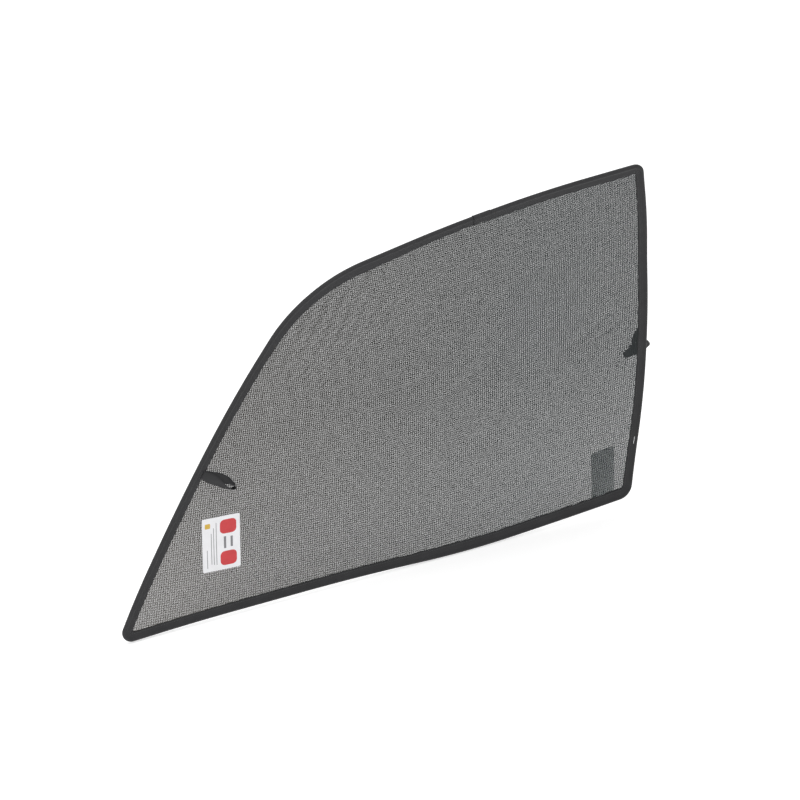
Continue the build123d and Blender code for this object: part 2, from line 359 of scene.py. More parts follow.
def woven_material(name, dark, light, pitch, twill, roughness, sheen, bump):
    """Cloth woven in fine diagonal ribs, a little worn and dusty in places."""
    material, tree, shader = node_material(name)
    along, across, flat = weave_coordinates(tree)
    position = object_coordinates(tree)
    diagonal = math_node(tree, "ADD", along, math_node(tree, "MULTIPLY", across, twill))
    ribs = wave(tree, diagonal, pitch)
    picks = wave(tree, across, pitch * 0.8)
    yarn = math_node(tree, "MULTIPLY", ribs, remap(tree, picks, 0.0, 1.0, 0.55, 1.0))
    fuzz = noise(tree, flat, 2.6, 4.0, 0.7)
    dust = noise(tree, position, 38.0, 5.0, 0.6)
    shade = math_node(tree, "ADD", math_node(tree, "MULTIPLY", yarn, 0.45),
                      math_node(tree, "MULTIPLY", fuzz, 0.3))
    shade = math_node(tree, "ADD", shade, math_node(tree, "MULTIPLY", dust, 0.4))
    colour = mix_colours(tree, remap(tree, shade, 0.15, 0.95, 0.0, 1.0), dark, light)
    tree.links.new(colour, shader.inputs["Base Color"])
    rough = remap(tree, dust, 0.3, 0.7, roughness - 0.07, roughness + 0.07)
    tree.links.new(rough, shader.inputs["Roughness"])
    shader.inputs["Sheen Weight"].default_value = sheen
    shader.inputs["Sheen Roughness"].default_value = 0.45
    shader.inputs["Specular IOR Level"].default_value = 0.22
    height = math_node(tree, "ADD", yarn, math_node(tree, "MULTIPLY", fuzz, 0.6))
    add_bump(tree, shader, height, 0.75, bump)
    return material


def mesh_material():
    """Dark monofilament, slightly browner towards the front edge and cooler to the rear."""
    material, tree, shader = node_material("mesh_yarn")
    position = object_coordinates(tree)
    along, across, flat = weave_coordinates(tree)
    parts = node(tree, "ShaderNodeSeparateXYZ")
    tree.links.new(position, parts.inputs["Vector"])
    sideways = remap(tree, parts.outputs["X"], -0.30, 0.20, 0.0, 1.0)
    patches = noise(tree, position, 9.0, 4.0, 0.6)
    fine = noise(tree, flat, 0.9, 3.0, 0.6)
    hue = mix_colours(tree, sideways, (0.050, 0.043, 0.036), (0.032, 0.038, 0.039))
    shade = math_node(tree, "ADD", math_node(tree, "MULTIPLY", patches, 0.55),
                      math_node(tree, "MULTIPLY", fine, 0.45))
    dim = mix_colours(tree, remap(tree, shade, 0.3, 0.7, 0.0, 1.0),
                      (0.74, 0.74, 0.74), (1.22, 1.22, 1.22))
    product = node(tree, "ShaderNodeMix", data_type="RGBA", blend_type="MULTIPLY")
    product.inputs[0].default_value = 1.0
    tree.links.new(hue, product.inputs[6])
    tree.links.new(dim, product.inputs[7])
    tree.links.new(product.outputs[2], shader.inputs["Base Color"])
    tree.links.new(remap(tree, fine, 0.3, 0.7, 0.42, 0.6), shader.inputs["Roughness"])
    shader.inputs["Specular IOR Level"].default_value = 0.25
    slanted = math_node(tree, "ADD", across, math_node(tree, "MULTIPLY", along, 0.4))
    filaments = wave(tree, slanted, 0.45)
    add_bump(tree, shader, filaments, 0.5, 0.08)
    return material


def thread_material():
    """Black twisted sewing thread."""
    material, tree, shader = node_material("sewing_thread")
    along, across, flat = weave_coordinates(tree)
    twist = wave(tree, math_node(tree, "ADD", along, across), 0.55)
    fluff = noise(tree, flat, 4.0, 3.0, 0.6)
    shade = math_node(tree, "MULTIPLY", twist, remap(tree, fluff, 0.3, 0.7, 0.6, 1.0))
    tree.links.new(mix_colours(tree, shade, (0.012, 0.012, 0.014), (0.085, 0.085, 0.09)),
                   shader.inputs["Base Color"])
    tree.links.new(remap(tree, fluff, 0.3, 0.7, 0.45, 0.65), shader.inputs["Roughness"])
    add_bump(tree, shader, twist, 0.8, 0.08)
    return material


def film_material(name, colour, spread=0.04, roughness=0.42):
    """Printed plastic film: almost even, with faint mottling and a fine surface."""
    material, tree, shader = node_material(name)
    position = object_coordinates(tree)
    cloud = noise(tree, position, 60.0, 4.0, 0.6)
    grain = noise(tree, position, 1400.0, 2.0, 0.5)
    low = tuple(max(0.0, c * (1 - spread) - 0.004) for c in colour)
    high = tuple(min(1.0, c * (1 + spread)) for c in colour)
    tree.links.new(mix_colours(tree, remap(tree, cloud, 0.3, 0.7, 0.0, 1.0), low, high),
                   shader.inputs["Base Color"])
    tree.links.new(remap(tree, grain, 0.3, 0.7, roughness - 0.05, roughness + 0.08),
                   shader.inputs["Roughness"])
    height = math_node(tree, "ADD", cloud, math_node(tree, "MULTIPLY", grain, 0.2))
    add_bump(tree, shader, height, 0.25, 0.15)
    return material


def plastic_material(name, low, high, roughness, grain_scale, bump):
    """Moulded plastic with a fine spark-eroded grain and a few rubbed patches."""
    material, tree, shader = node_material(name)
    position = object_coordinates(tree)
    grain = noise(tree, position, grain_scale, 3.0, 0.6)
    rubbed = noise(tree, position, 90.0, 5.0, 0.65)
    tree.links.new(mix_colours(tree, remap(tree, rubbed, 0.35, 0.7, 0.0, 1.0), low, high),
                   shader.inputs["Base Color"])
    tree.links.new(remap(tree, rubbed, 0.3, 0.7, roughness + 0.08, roughness - 0.08),
                   shader.inputs["Roughness"])
    shader.inputs["Specular IOR Level"].default_value = 0.3
    add_bump(tree, shader, grain, 0.5, bump)
    return material


def tongue_material():
    """Thin frosted plastic sheet that lets some light through; its colour is painted shade, darker
    to the upper front and lighter to the lower rear.
    """
    material, tree, shader = node_material("tongue_plastic")
    position = object_coordinates(tree)
    parts = node(tree, "ShaderNodeSeparateXYZ")
    tree.links.new(position, parts.inputs["Vector"])
    down = math_node(tree, "SUBTRACT", parts.outputs["X"], parts.outputs["Z"])
    # Painted shade: the colour ramps from darker at the upper front to lighter at the lower rear,
    # with random cloud added.
    clear = remap(tree, down, 0.21, 0.30, 0.0, 1.0)
    cloud = noise(tree, position, 70.0, 4.0, 0.6)
    grain = noise(tree, position, 1500.0, 3.0, 0.6)
    clear = math_node(tree, "ADD", clear, math_node(tree, "MULTIPLY", cloud, 0.3))
    colour = mix_colours(tree, remap(tree, clear, 0.1, 1.2, 0.0, 1.0),
                         (0.70, 0.74, 0.74), (0.90, 0.93, 0.93))
    tree.links.new(colour, shader.inputs["Base Color"])
    tree.links.new(remap(tree, cloud, 0.3, 0.7, 0.42, 0.56), shader.inputs["Roughness"])
    add_bump(tree, shader, grain, 0.4, 0.05)
    shader.inputs["Transmission Weight"].default_value = 0.75
    shader.inputs["IOR"].default_value = 1.45
    return material


def steel_material(name, low, high, roughness):
    """Drawn steel with fine streaks and a trace of tarnish."""
    material, tree, shader = node_material(name)
    position = object_coordinates(tree)
    stretch = node(tree, "ShaderNodeMapping")
    stretch.inputs["Scale"].default_value = (1.0, 1.0, 0.12)
    tree.links.new(position, stretch.inputs["Vector"])
    streaks = noise(tree, stretch.outputs["Vector"], 1800.0, 3.0, 0.6)
    tarnish = noise(tree, position, 120.0, 4.0, 0.6)
    tree.links.new(mix_colours(tree, tarnish, low, high), shader.inputs["Base Color"])
    tree.links.new(remap(tree, streaks, 0.3, 0.7, roughness - 0.06, roughness + 0.1),
                   shader.inputs["Roughness"])
    shader.inputs["Metallic"].default_value = 1.0
    add_bump(tree, shader, streaks, 0.3, 0.03)
    return material


TAPE = woven_material("binding_cloth", (0.009, 0.009, 0.010), (0.060, 0.060, 0.062),
                      1.1, 0.55, 0.7, 0.08, 0.16)
# The heat-cut edge is a real black edge; its colour, darker than the tape, is painted shade for
# the shadow line where the lap starts.
CUT_EDGE_PAINTED_SHADE = woven_material("heat_cut_edge_painted_shade", (0.001, 0.001, 0.001), (0.004, 0.004, 0.004),
                          0.9, 0.2, 0.5, 0.0, 0.1)
RIBBON = woven_material("ribbon_cloth", (0.010, 0.010, 0.010), (0.047, 0.047, 0.050),
                        1.3, 0.0, 0.5, 0.06, 0.14)
YARN = mesh_material()
THREAD = thread_material()
FILM = film_material("label_film", (0.80, 0.80, 0.82))
RED_INK = film_material("label_red", (0.55, 0.030, 0.035), 0.08, 0.38)
GREY_INK = film_material("label_grey", (0.20, 0.20, 0.21), 0.08)
AMBER_INK = film_material("label_amber", (0.62, 0.40, 0.05), 0.08)
LATCH_PLASTIC = plastic_material("latch_plastic", (0.015, 0.015, 0.016), (0.042, 0.042, 0.043),
                                 0.48, 2600.0, 0.05)
TONGUE_PLASTIC = tongue_material()
WIRE_STEEL = steel_material("spring_steel", (0.20, 0.20, 0.21), (0.42, 0.42, 0.43), 0.32)
BLACK_STEEL = steel_material("rivet_steel", (0.06, 0.06, 0.06), (0.16, 0.16, 0.165), 0.35)
BRIGHT_STEEL = steel_material("staple_steel", (0.62, 0.62, 0.63), (0.85, 0.85, 0.86), 0.2)


# ---- the mesh cloth: rows and columns of flat yarn, stretched over the bow

COLUMN_PITCH = 2.95
ROW_PITCH = 3.05
# Offset and width of each yarn in one repeat of the lattice.
STRANDS = ((0.0, 0.66), (0.74, 0.42), (1.475, 0.21), (2.21, 0.42))
PICKS = ((0.0, 0.62), (0.76, 0.42), (1.525, 0.22), (2.29, 0.42))
YARN_THICKNESS = 0.2
YARN_LIFT = 0.09
HEM_INSET = 8.5
# The columns lean to the rear as they rise, and draw together a little.
FAN_HEIGHT = 150.0
COLUMN_LEAN = 0.052
COLUMN_FAN = 0.0005
# The rows rise towards both ends, the upper ones more.
ROW_CURVE = 0.0003
ROW_CURVE_GROWTH = 0.0000015
ROW_CURVE_HEIGHT = 50.0
# Samples along a yarn, and how many of them lie between its rings.
SAMPLE_STEP = 2.0
PLAIN_STRIDE = 26
ROW_STRIDE = 4
COLUMN_STRIDE = 12
# The cloth is slack round this place.
RIPPLE_CENTRE = (-95, 400)
RIPPLE_REACH = 160


def in_cloth(xs, zs):
    """Which points lie inside the hem of the cloth."""
    hem = edge_path(HEM_INSET)
    hx = np.array([p.x for p in hem])
    hz = np.array([p.y for p in hem])
    nx, nz = np.roll(hx, -1), np.roll(hz, -1)
    inside = np.zeros(len(xs), dtype=bool)
    for a, b, c, d in zip(hx, hz, nx, nz):
        if b == d:
            continue
        between = (zs < b) != (zs < d)
        inside ^= between & (xs < (c - a) * (zs - b) / (d - b) + a)
    return inside


def from_ripple(x, z):
    return math.hypot(x - RIPPLE_CENTRE[0], z - RIPPLE_CENTRE[1])


def ripple(x, z):
    """Slack in the cloth: soft folds that fan out from the bend at the top of the front edge."""
    near = from_ripple(x, z)
    strength = 1.1 * smoothstep(190, 20, near)
    fold = math.sin((x * 0.93 + z * 0.25) * 2 * math.pi / 19 + 1.3 * math.sin(z / 31))
    broad = 0.5 * math.sin(x / 61 + z / 83) * smoothstep(0, 60, 376 - abs(x))
    return strength * fold * 0.8 + broad


def runs_inside(points):
    """Splits a sampled line into the stretches that lie inside the hem."""
    mask = in_cloth(points[:, 0], points[:, 1])
    runs, start = [], None
    for k, is_in in enumerate(mask):
        if is_in and start is None:
            start = k
        if not is_in and start is not None:
            runs.append((start, k - 1))
            start = None
    if start is not None:
        runs.append((start, len(mask) - 1))
    return [run for run in runs if run[1] > run[0] + 1]


def add_yarn(builder, points, first, last, width, lift, fine_stride):
    """One flat yarn along sampled points, with more rings where the cloth ripples."""
    stations = [first]
    while stations[-1] < last:
        x, z = points[stations[-1]]
        stride = fine_stride if from_ripple(x, z) < RIPPLE_REACH else PLAIN_STRIDE
        stations.append(min(last, stations[-1] + stride))
    half, thick = width / 2, YARN_THICKNESS / 2
    shape = ((-half, -thick), (-half * 0.7, thick), (half * 0.7, thick), (half, -thick))
    rings = []
    for k in stations:
        x, z = points[k]
        ahead = points[min(last, k + 1)] - points[max(first, k - 1)]
        side = Vector((ahead[1], -ahead[0])).normalized()
        raised = lift + ripple(x, z)
        rings.append([place(x + side.x * a, z + side.y * a, raised + b) for a, b in shape])
    along = [float(np.hypot(*(points[k] - points[first]))) for k in stations]
    builder.loft(rings, along, perimeter_marks(rings[0]))


def make_cloth():
    cloth = Builder()
    xs = np.arange(-384.0, 384.0, SAMPLE_STEP)
    for index in range(-4, 190):
        level = index * ROW_PITCH
        curve = ROW_CURVE + ROW_CURVE_GROWTH * (level - ROW_CURVE_HEIGHT)
        line = np.stack([xs, level + curve * xs**2 / 2], axis=1)
        for first, last in runs_inside(line):
            for offset, width in PICKS:
                add_yarn(cloth, line + (0.0, offset), first, last, width, -YARN_LIFT, ROW_STRIDE)
    zs = np.arange(-4.0, 530.0, SAMPLE_STEP)
    for index in range(-160, 170):
        foot = index * COLUMN_PITCH
        lean = foot * (1 - COLUMN_FAN * (zs - FAN_HEIGHT)) + COLUMN_LEAN * (zs - FAN_HEIGHT)
        line = np.stack([lean, zs], axis=1)
        for first, last in runs_inside(line):
            for offset, width in STRANDS:
                add_yarn(cloth, line + (offset, 0.0), first, last, width, YARN_LIFT, COLUMN_STRIDE)
    return cloth.make("mesh_cloth", [YARN])


# ---- the binding tape

STITCH_PITCH = 3.6
STITCH_LENGTH = 2.9
THREAD_RADIUS = 0.32
THREAD_LIFT = 1.02
TAPE_LIFT = 1.18
SEAM_GROOVE = 0.22
BEAD_ROOT = 6.6
BEAD_ANGLES = (38, 55, 75, 95, 115, 135, 155, 172)


def tape_section(width, grown=0.0):
    """Inset and lift of the points round the tape, from its inner cabin edge and back."""
    flat = TAPE_LIFT + grown
    seam = width - SEAM_SETBACK
    half = [(width + 0.3 * grown, 0.42 + grown * 0.6), (width - 0.2, 0.98 + grown),
            (width - 0.9, 1.2 + grown), (seam + 0.6, flat), (seam, flat - SEAM_GROOVE),
            (seam - 0.6, flat), ((seam + BEAD_ROOT) / 2, flat + 0.02), (BEAD_ROOT, flat + 0.1)]
    reach = BEAD_RADIUS + grown
    for degrees in BEAD_ANGLES:
        angle = math.radians(degrees)
        half.append((WIRE_INSET + reach * math.cos(angle), reach * math.sin(angle)))
    return half + [(inset, -lift) for inset, lift in reversed(half)]


def tape_ring(station, grown=0.0, slack=0.0):
    """One ring of the tape: its section at a station, pulled about a little by its sewing."""
    index = station % STATIONS
    s = ALONG[index]
    width = WIDTHS[index] + slack
    width += 0.22 * math.sin(s / 9.1) * math.sin(s / 23.7) + 0.18 * math.sin(s / 3.7 + 1.1)
    ring = []
    for inset, lift in tape_section(width, grown):
        x, z = inward(index, inset)
        pucker = 0.10 * math.sin(s * 2 * math.pi / STITCH_PITCH) * smoothstep(5.0, 9.0, inset)
        ring.append(place(x, z, lift * (1 + pucker)))
    return ring


def make_tape():
    tape = Builder()
    rings = [tape_ring(k) for k in range(STATIONS)]
    tape.loft(rings, ALONG, perimeter_marks(rings[0]), joined=True)
    return tape.make("tape_cover", [TAPE])


LAP_FIRST = JOIN_STATION - 4
LAP_LAST = JOIN_STATION + 4
CUT_BANDS = 2    # bands of faces at the lap's start that show the heat-cut edge, coloured near black as a painted shadow line


def make_lap():
    """The tape's last turn, folded over its start, with its heat-cut end standing up a little."""
    lap = Builder()
    edge = tape_ring(LAP_FIRST, 0.95, 0.7)
    body = [tape_ring(k, 0.55, 0.5) for k in range(LAP_FIRST, LAP_LAST + 1)]
    body[0] = [a.lerp(b, 0.45) for a, b in zip(body[0], body[1])]
    cut = [a.lerp(b, 0.3) for a, b in zip(edge, body[0])]
    rings = [tape_ring(LAP_FIRST, 0.1, 0.1), edge, cut] + body + [tape_ring(LAP_LAST, 0.1, 0.1)]
    first = ALONG[LAP_FIRST]
    along = [first, first + 0.6, first + 1.2]
    along += [ALONG[k] + 40 for k in range(LAP_FIRST, LAP_LAST + 1)] + [ALONG[LAP_LAST] + 41]
    lap.loft(rings, along, perimeter_marks(edge))
    # The cut-edge faces take the near-black slot: painted shade along the lap's start.
    for k in range(CUT_BANDS * len(edge)):
        lap.slots[k] = 1
    return lap.make("tape_lap", [TAPE, CUT_EDGE_PAINTED_SHADE])


def add_stitch(builder, start, end, outwards, radius, sink):
    """One stitch: a short thread that dips into the cloth at both ends."""
    run = end - start
    ahead = run.normalized()
    side = ahead.cross(outwards).normalized()
    shape = ((0.0, -sink, 0.55), (0.14, 0.1, 0.95), (0.5, 0.42, 1.0), (0.86, 0.1, 0.95),
             (1.0, -sink, 0.55))
    rings = []
    for share, rise, size in shape:
        middle = start + run * share + outwards * (rise * radius)
        rings.append([
            middle + (side * math.cos(a) + outwards * math.sin(a) * 0.8) * (radius * size)
            for a in (k * math.pi / 3 for k in range(6))
        ])
    along = [share * run.length / MM for share, _, _ in shape]
    builder.loft(rings, along, perimeter_marks(rings[2]))


def make_seam(name, side):
    """The line of stitches through the tape, on the cabin side (1) or the outer side (-1)."""
    line = [inward(k, WIDTHS[k] - SEAM_SETBACK) for k in range(STATIONS)]
    lengths = running_length(line + line[:1])
    count = round(lengths[-1] / STITCH_PITCH)
    station_x = [p.x for p in line + line[:1]]
    station_z = [p.y for p in line + line[:1]]
    seam = Builder()
    for k in range(count):
        at = k * lengths[-1] / count
        reach = STITCH_LENGTH * random.uniform(0.94, 1.03)
        ends = []
        for s in (at, at + reach):
            x = float(np.interp(s % lengths[-1], lengths, station_x))
            z = float(np.interp(s % lengths[-1], lengths, station_z))
            ends.append((x, z + random.uniform(-0.07, 0.07)))
        lift = THREAD_LIFT * side
        start, end = place(*ends[0], lift), place(*ends[1], lift)
        outwards = (place(*ends[0], 10.0 * side) - place(*ends[0], 0.0)).normalized()
        add_stitch(seam, start, end, outwards, THREAD_RADIUS * MM, 0.9)
    return seam.make(name, [THREAD], 70.0)


# ---- the pull loop

LOOP_ROOT = (-250.6, 206.1)
LOOP_ANGLE = -29.0
# Middle of the ribbon along, across and above the loop; half width; how far it stands on edge.
# Along the ribbon: distance out, distance across, lift, half width and turn in degrees.
LOOP_PATH = [
    (-3.0, 1.6, 2.1, 6.0, 0), (0.5, 1.4, 2.9, 6.4, 0), (6.0, 0.9, 3.4, 6.9, 2),
    (12.5, -0.5, 3.8, 6.9, 6), (18.5, -2.0, 4.1, 6.2, 14), (24.5, -3.8, 4.3, 5.3, 26),
    (30.5, -5.6, 4.6, 4.6, 38), (36.0, -6.6, 4.6, 4.1, 52), (41.5, -6.5, 4.5, 3.8, 70),
    (45.2, -4.8, 4.4, 3.5, 86), (46.0, -2.4, 4.2, 3.3, 94), (44.2, -0.2, 4.1, 3.2, 106),
    (40.4, 1.3, 3.9, 3.5, 124), (35.5, 2.7, 3.5, 4.2, 140), (28.5, 3.4, 2.9, 5.3, 158),
    (20.0, 3.4, 2.2, 6.0, 170), (10.0, 2.7, 1.8, 6.3, 176), (0.5, 1.6, 1.6, 6.2, 178),
    (-3.0, 1.6, 1.4, 6.0, 180),
]
RIBBON_THICKNESS = 0.8
RIBBON_CUP = 0.35


def smooth_track(rows, steps):
    """Points on a Catmull-Rom curve through rows of numbers."""
    padded = [rows[0], *rows, rows[-1]]
    track = []
    for k in range(len(rows) - 1):
        p0, p1, p2, p3 = (np.array(padded[k + j], dtype=float) for j in range(4))
        for j in range(steps):
            t = j / steps
            track.append(0.5 * (2 * p1 + (p2 - p0) * t + (2 * p0 - 5 * p1 + 4 * p2 - p3) * t**2
                                + (3 * p1 - p0 - 3 * p2 + p3) * t**3))
    track.append(np.array(rows[-1], dtype=float))
    return track


def make_loop():
    """A ribbon that runs out, turns over at its tip and comes back, with an eye left open."""
    plane = cabin_plane(*LOOP_ROOT, LOOP_ANGLE)
    track = smooth_track(LOOP_PATH, 5)
    thick = RIBBON_THICKNESS / 2
    rings, along = [], [0.0]
    for k, (u, v, lift, half, turn) in enumerate(track):
        before, after = track[max(0, k - 1)], track[min(len(track) - 1, k + 1)]
        ahead = Vector(after[:3] - before[:3]).normalized()
        angle = math.radians(turn)
        wide = Vector((0, math.cos(angle), math.sin(angle)))
        wide = (wide - ahead * wide.dot(ahead)).normalized()
        thin = ahead.cross(wide)
        ring = []
        for a, b in ((-1.0, 0), (-0.93, 0.9), (-0.5, 1.0), (0, 1.05), (0.5, 1.0), (0.93, 0.9),
                     (1.0, 0), (0.93, -0.9), (0.5, -1.0), (0, -0.95), (-0.5, -1.0), (-0.93, -0.9)):
            cup = RIBBON_CUP * (1 - a * a)
            spot = Vector((u, v, lift)) + wide * (a * half) + thin * (b * thick + cup)
            ring.append(on_plane(plane, *spot))
        rings.append(ring)
        if k:
            along.append(along[-1] + (rings[k][0] - rings[k - 1][0]).length / MM)
    loop = Builder()
    loop.loft(rings, along, perimeter_marks(rings[len(rings) // 5]))
    return loop.make("ribbon_loop", [RIBBON], 60.0)


TACK_SETBACK = 4.6
TACK_REACH = 5.2
TACK_STITCHES = 22


def make_tack():
    """Close zigzag stitches that fix the ribbon's ends to the tape."""
    plane = cabin_plane(*LOOP_ROOT, LOOP_ANGLE)
    facing = plane[3]
    tack = Builder()
    for k in range(TACK_STITCHES):
        v = -TACK_REACH + 2 * TACK_REACH * k / (TACK_STITCHES - 1)
        side = 0.75 if k % 2 else -0.75
        start = on_plane(plane, -TACK_SETBACK - side, v, 1.36)
        end = on_plane(plane, -TACK_SETBACK + side, v + 0.25, 1.36)
        add_stitch(tack, start, end, facing, 0.24 * MM, 0.7)
    for offset in (-0.55, 0.55):
        start = on_plane(plane, -TACK_SETBACK + offset, -5.4, 1.34)
        end = on_plane(plane, -TACK_SETBACK + offset, 5.4, 1.34)
        add_stitch(tack, start, end, facing, 0.22 * MM, 0.5)
    return tack.make("loop_tack", [THREAD], 70.0)


# ---- flat parts cut from sheet

def round_corners(points, radii, steps=7):
    """A closed outline with an arc at each corner."""
    outline = []
    for k, point in enumerate(points):
        corner = Vector(point)
        before = Vector(points[k - 1]) - corner
        after = Vector(points[(k + 1) % len(points)]) - corner
        half = before.angle(after) / 2
        radius = radii[k] if isinstance(radii, (list, tuple)) else radii
        radius = min(radius, 0.45 * min(before.length, after.length) * math.tan(half))
        trim = radius / math.tan(half)
        before.normalize()
        after.normalize()
        centre = corner + (before + after).normalized() * (radius / math.sin(half))
        first = corner + before * trim - centre
        last = corner + after * trim - centre
        sweep = math.atan2(first.x * last.y - first.y * last.x, first.dot(last))
        outline.extend(centre + rotated(first, sweep * j / steps) for j in range(steps + 1))
    return outline


def circle(u, v, radius, count=28):
    return [Vector((u + radius * math.cos(2 * math.pi * k / count),
                    v + radius * math.sin(2 * math.pi * k / count))) for k in range(count)]


def plate(name, plane, outlines, near, far, edge, materials):
    """A flat part with rounded edges, cut to outlines: the first is its edge, the rest holes."""
    curve = bpy.data.curves.new(name + "_curve", "CURVE")
    curve.dimensions = "2D"
    curve.fill_mode = "BOTH"
    for outline in outlines:
        spline = curve.splines.new("POLY")
        spline.points.add(len(outline) - 1)
        for point, spot in zip(spline.points, outline):
            point.co = (spot.x, spot.y, 0, 1)
        spline.use_cyclic_u = True
    curve.extrude = (far - near) / 2 - edge
    curve.bevel_depth = edge
    curve.bevel_resolution = 2
    curve.offset = -edge
    holder = bpy.data.objects.new(name + "_holder", curve)
    bpy.context.scene.collection.objects.link(holder)
    bpy.context.view_layer.update()
    finished = holder.evaluated_get(bpy.context.evaluated_depsgraph_get())
    mesh = bpy.data.meshes.new_from_object(finished)
    bpy.data.objects.remove(holder)
    middle = (near + far) / 2
    for vertex in mesh.vertices:
        vertex.co = on_plane(plane, vertex.co.x, vertex.co.y, vertex.co.z + middle)
    mesh.name = name
    mesh.materials.clear()
    form = bmesh.new()
    form.from_mesh(mesh)
    bmesh.ops.remove_doubles(form, verts=form.verts, dist=1e-7)
    form.to_mesh(mesh)
    form.free()
    return finish_mesh(mesh, name, materials, 50.0)


LATCH_PIVOT = (366.0, 231.6)
LATCH_ANGLE = 15.0
LATCH_BASE = [(-4.0, 31.7), (-8.1, 25.8), (-11.2, 16.6), (-10.8, -7.0), (3.6, -8.0), (3.6, 31.7)]
LATCH_HOLE = (-5.2, 10.4)
LATCH_HOLE_RADIUS = 1.1
LATCH_STOP = [(-12.2, 6.2), (-6.0, 6.2), (-6.0, 8.4), (-9.8, 10.4)]
LEVER = [
    (-13.2, 5.7), (-22.3, 2.4), (-20.9, -5.3), (-7.6, -7.0), (11.5, -6.2), (17.6, -4.0),
    (18.5, -1.0), (16.3, 4.5), (14.0, 5.8),
]
LEVER_RADII = [2.0, 1.4, 1.6, 2.0, 3.0, 3.0, 3.0, 3.0, 3.0]
BASE_NEAR = 1.6
BASE_FAR = 3.35
LEVER_NEAR = 3.8
LEVER_FAR = 6.8
LEVER_BORE_RADIUS = 1.56


def make_latch_base():
    plane = cabin_plane(*LATCH_PIVOT)
    outline = round_corners(LATCH_BASE, 1.8)
    base = plate("latch_plate", plane, [outline, circle(*LATCH_HOLE, LATCH_HOLE_RADIUS)],
                 -BASE_FAR, -BASE_NEAR, 0.35, [LATCH_PLASTIC])
    turned = cabin_plane(*LATCH_PIVOT, LATCH_ANGLE)
    stop = plate("latch_stop", turned, [round_corners(LATCH_STOP, 0.6)],
                 -BASE_FAR - 3.0, -BASE_FAR + 0.3, 0.3, [LATCH_PLASTIC])
    return base, stop


def make_lever():
    plane = cabin_plane(*LATCH_PIVOT, LATCH_ANGLE)
    outline = round_corners(LEVER, LEVER_RADII)
    lever = plate("latch_arm", plane, [outline, circle(0, 0, LEVER_BORE_RADIUS)],
                  -LEVER_FAR, -LEVER_NEAR, 0.55, [LATCH_PLASTIC])
    grips = Builder()
    for k in range(4):
        u = -20.2 + 2.3 * k
        rings = []
        for v in np.linspace(-4.2 + 0.1 * k, 2.0 + 0.7 * k, 9):
            rings.append([
                on_plane(plane, u + 0.55 * math.cos(a), v, -LEVER_FAR + 0.1 - 0.42 * math.sin(a))
                for a in (j * math.pi / 5 for j in range(6))
            ])
        grips.loft(rings, list(range(len(rings))), perimeter_marks(rings[0]))
    return lever, grips.make("latch_grips", [LATCH_PLASTIC], 60.0)


TONGUE_HINGE = (314.8, 22.6)
TONGUE_LEAN = 4.2
TONGUE = [(-19.0, 0.0), (15.6, 0.0), (22.5, 70.2), (-12.3, 67.4)]
TONGUE_HOLE = (4.7, 60.8)
TONGUE_HOLE_RADIUS = 1.25
TONGUE_NEAR = 1.85
TONGUE_FAR = 3.05


def make_tongue():
    plane = cabin_plane(*TONGUE_HINGE, TONGUE_LEAN)
    outline = round_corners(TONGUE, [0.4, 0.4, 2.5, 2.5])
    hole = circle(*TONGUE_HOLE, TONGUE_HOLE_RADIUS)
    return plate("tongue_sheet", plane, [outline, hole],
                 -TONGUE_FAR, -TONGUE_NEAR, 0.25, [TONGUE_PLASTIC])


FOOT_STITCHES = 9
FOOT_ROW = -3.5
FOOT_LIFT = -2.5
FOOT_STITCH_HALF = 1.35


def make_foot_stitches():
    plane = cabin_plane(*TONGUE_HINGE, TONGUE_LEAN)
    outwards = -plane[3]
    row = Builder()
    for k in range(FOOT_STITCHES):
        u = -16.6 + 29.4 * k / (FOOT_STITCHES - 1)
        start = on_plane(plane, u - FOOT_STITCH_HALF, FOOT_ROW, FOOT_LIFT)
        end = on_plane(plane, u + FOOT_STITCH_HALF, FOOT_ROW, FOOT_LIFT)
        add_stitch(row, start, end, outwards, 0.3 * MM, 0.5)
    return row.make("foot_stitches", [THREAD], 70.0)


# ---- the label

LABEL_CENTRE = (-234.3, 104.5)
LABEL_LEAN = -3.4
LABEL_WIDTH = 50.8
LABEL_HEIGHT = 76.0
LABEL_LIFT = 0.62
LABEL_CUT = 9.5    # distance between the cuts that let a patch bend


def label_sheet(name, outline, low, high, materials):
    """A patch of film that follows the bow. Its outline is in the label's own plane."""
    plane = cabin_plane(*LABEL_CENTRE, LABEL_LEAN)
    form = bmesh.new()
    ring = [form.verts.new((p.x, p.y, 0)) for p in outline]
    form.faces.new(ring)
    cuts = [((0, k * LABEL_CUT, 0), (0, 1, 0)) for k in range(-3, 4)]
    cuts += [((k * LABEL_CUT, 0, 0), (1, 0, 0)) for k in range(-2, 3)]
    for through, facing in cuts:
        bmesh.ops.bisect_plane(form, geom=form.verts[:] + form.edges[:] + form.faces[:],
                               plane_co=through, plane_no=facing)
    made = bmesh.ops.extrude_face_region(form, geom=form.faces[:])
    top = {v for v in made["geom"] if isinstance(v, bmesh.types.BMVert)}
    for vertex in form.verts:
        u, v = vertex.co.x, vertex.co.y
        bow = v * v / (2 * BOW_RADIUS)
        lift = (high if vertex in top else low) + bow
        lift += 0.05 * math.sin(u / 6.3) * math.sin(v / 8.7)
        vertex.co = on_plane(plane, u, v, lift)
    mesh = bpy.data.meshes.new(name)
    form.to_mesh(mesh)
    form.free()
    return finish_mesh(mesh, name, materials, 40.0)


def bar(u, v, width, height, radius):
    """The outline of an upright rectangle round u and v, with rounded corners."""
    a, b = width / 2, height / 2
    corners = [(u - a, v - b), (u + a, v - b), (u + a, v + b), (u - a, v + b)]
    return round_corners(corners, radius, 5)


